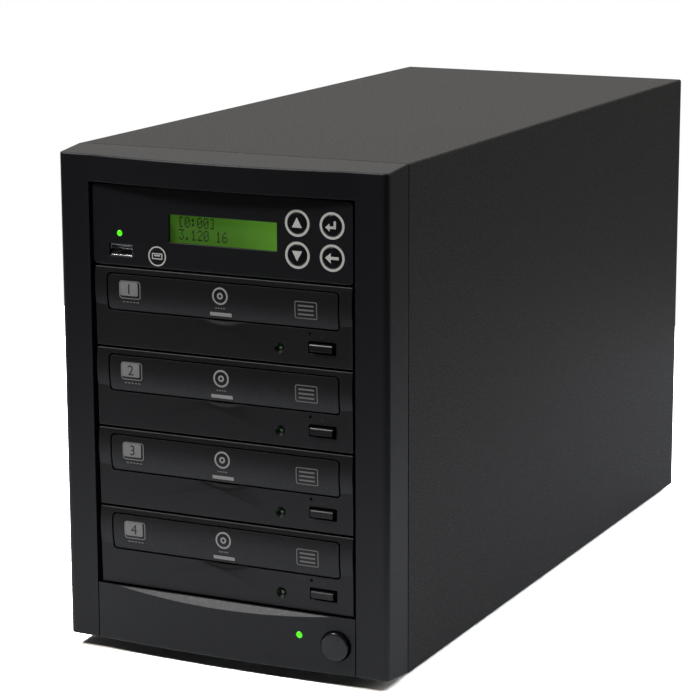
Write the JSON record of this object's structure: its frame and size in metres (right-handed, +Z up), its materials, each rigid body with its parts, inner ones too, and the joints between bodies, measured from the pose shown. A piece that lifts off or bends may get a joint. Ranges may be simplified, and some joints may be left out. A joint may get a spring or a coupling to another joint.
{
  "type": "optical disc duplicator",
  "caption": "Tower optical disc duplicator: black steel case with a bowed moulded front, sliding disc trays, sprung keys, backlit display, USB socket, mains power supply and exhaust fan.",
  "frame": {"origin": "on the ground under the middle of the case's box", "axes": "+X to the viewer's right, the front faces -Y, +Z up"},
  "size_m": [0.1898, 0.4419, 0.2685],
  "materials": {
    "black_paint": "fine-grained black powder coat",
    "bare_steel": "zinc-plated sheet",
    "screw_steel": "plated",
    "drive_steel": "plated sheet",
    "rubber": "matte",
    "black_plastic": "fine moulded grain",
    "gloss_black": "smooth",
    "fan_plastic": "smooth",
    "tray_black": "smooth",
    "loader_grey": "plain",
    "green_lamp": "lit",
    "display_green": "backlit",
    "clear_window": "clear",
    "circuit_board": "solder mask"
  },
  "bodies": {
    "chassis": {"base_pan": "bare_steel", "cage_left": "bare_steel", "cage_right": "bare_steel", "case_fan_frame": "fan_plastic", "control_panel": "black_plastic", "controller_board": "circuit_board", "controller_sled": "bare_steel", "cover": "black_paint", "cover_screws": "screw_steel", "display_module": "display_green", "display_window": "clear_window", "drive_1_bezel": "black_plastic", "drive_1_loader": "loader_grey", "drive_1_shell": "drive_steel", "drive_2_bezel": "black_plastic", "drive_2_loader": "loader_grey", "drive_2_shell": "drive_steel", "drive_3_bezel": "black_plastic", "drive_3_loader": "loader_grey", "drive_3_shell": "drive_steel", "drive_4_bezel": "black_plastic", "drive_4_loader": "loader_grey", "drive_4_shell": "drive_steel", "drive_lamps": "green_lamp", "drive_screws": "screw_steel", "feet": "rubber", "front_bezel": "black_plastic", "front_board": "circuit_board", "front_frame": "bare_steel", "lower_panel": "black_plastic", "module_screws": "screw_steel", "panel_lamp": "green_lamp", "power_lamp": "green_lamp", "power_switch": "gloss_black", "psu_case": "bare_steel", "psu_fan_frame": "fan_plastic", "psu_inlet": "gloss_black", "psu_switch_frame": "gloss_black", "rear_panel": "bare_steel", "usb_socket": "bare_steel"},
    "tray_1": {"drive_1_tray": "tray_black", "drive_1_tray_front": "black_plastic"},
    "eject_1": {"drive_1_eject_button": "black_plastic"},
    "tray_2": {"drive_2_tray": "tray_black", "drive_2_tray_front": "black_plastic"},
    "eject_2": {"drive_2_eject_button": "black_plastic"},
    "tray_3": {"drive_3_tray": "tray_black", "drive_3_tray_front": "black_plastic"},
    "eject_3": {"drive_3_eject_button": "black_plastic"},
    "tray_4": {"drive_4_tray": "tray_black", "drive_4_tray_front": "black_plastic"},
    "eject_4": {"drive_4_eject_button": "black_plastic"},
    "up_key": {"up_button": "black_plastic"},
    "down_key": {"down_button": "black_plastic"},
    "enter_key": {"enter_button": "black_plastic"},
    "back_key": {"back_button": "black_plastic"},
    "power_key": {"power_button": "black_plastic"},
    "case_fan": {"case_fan_rotor": "fan_plastic"},
    "psu_fan": {"psu_fan_rotor": "fan_plastic"},
    "rocker": {"psu_rocker": "gloss_black"}
  },
  "joints": [
    {"name": "tray_1_slide", "type": "slide", "parent": "chassis", "child": "tray_1", "axis": [0, -1, 0], "range_m": [0, 0.14]},
    {"name": "eject_1_press", "type": "slide", "parent": "chassis", "child": "eject_1", "axis": [0, 1, 0], "range_m": [0, 0.0012], "stiffness_N_per_m": 500},
    {"name": "tray_2_slide", "type": "slide", "parent": "chassis", "child": "tray_2", "axis": [0, -1, 0], "range_m": [0, 0.14]},
    {"name": "eject_2_press", "type": "slide", "parent": "chassis", "child": "eject_2", "axis": [0, 1, 0], "range_m": [0, 0.0012], "stiffness_N_per_m": 500},
    {"name": "tray_3_slide", "type": "slide", "parent": "chassis", "child": "tray_3", "axis": [0, -1, 0], "range_m": [0, 0.14]},
    {"name": "eject_3_press", "type": "slide", "parent": "chassis", "child": "eject_3", "axis": [0, 1, 0], "range_m": [0, 0.0012], "stiffness_N_per_m": 500},
    {"name": "tray_4_slide", "type": "slide", "parent": "chassis", "child": "tray_4", "axis": [0, -1, 0], "range_m": [0, 0.14]},
    {"name": "eject_4_press", "type": "slide", "parent": "chassis", "child": "eject_4", "axis": [0, 1, 0], "range_m": [0, 0.0012], "stiffness_N_per_m": 500},
    {"name": "up_press", "type": "slide", "parent": "chassis", "child": "up_key", "axis": [0, 1, 0], "range_m": [0, 0.0008], "stiffness_N_per_m": 600},
    {"name": "down_press", "type": "slide", "parent": "chassis", "child": "down_key", "axis": [0, 1, 0], "range_m": [0, 0.0008], "stiffness_N_per_m": 600},
    {"name": "enter_press", "type": "slide", "parent": "chassis", "child": "enter_key", "axis": [0, 1, 0], "range_m": [0, 0.0008], "stiffness_N_per_m": 600},
    {"name": "back_press", "type": "slide", "parent": "chassis", "child": "back_key", "axis": [0, 1, 0], "range_m": [0, 0.0008], "stiffness_N_per_m": 600},
    {"name": "power_press", "type": "slide", "parent": "chassis", "child": "power_key", "axis": [0, 1, 0], "range_m": [0, 0.002], "stiffness_N_per_m": 500},
    {"name": "case_fan_spin", "type": "hinge", "parent": "chassis", "child": "case_fan", "pos_m": [0, 0.2042, 0.1335], "axis": [0, 1, 0], "continuous": true},
    {"name": "psu_fan_spin", "type": "hinge", "parent": "chassis", "child": "psu_fan", "pos_m": [-0.023, 0.2032, 0.0485], "axis": [0, 1, 0], "continuous": true},
    {"name": "rocker_tilt", "type": "hinge", "parent": "chassis", "child": "rocker", "pos_m": [0.048, 0.2139, 0.0655], "axis": [-1, 0, 0], "range_deg": [0, 16]}
  ]
}
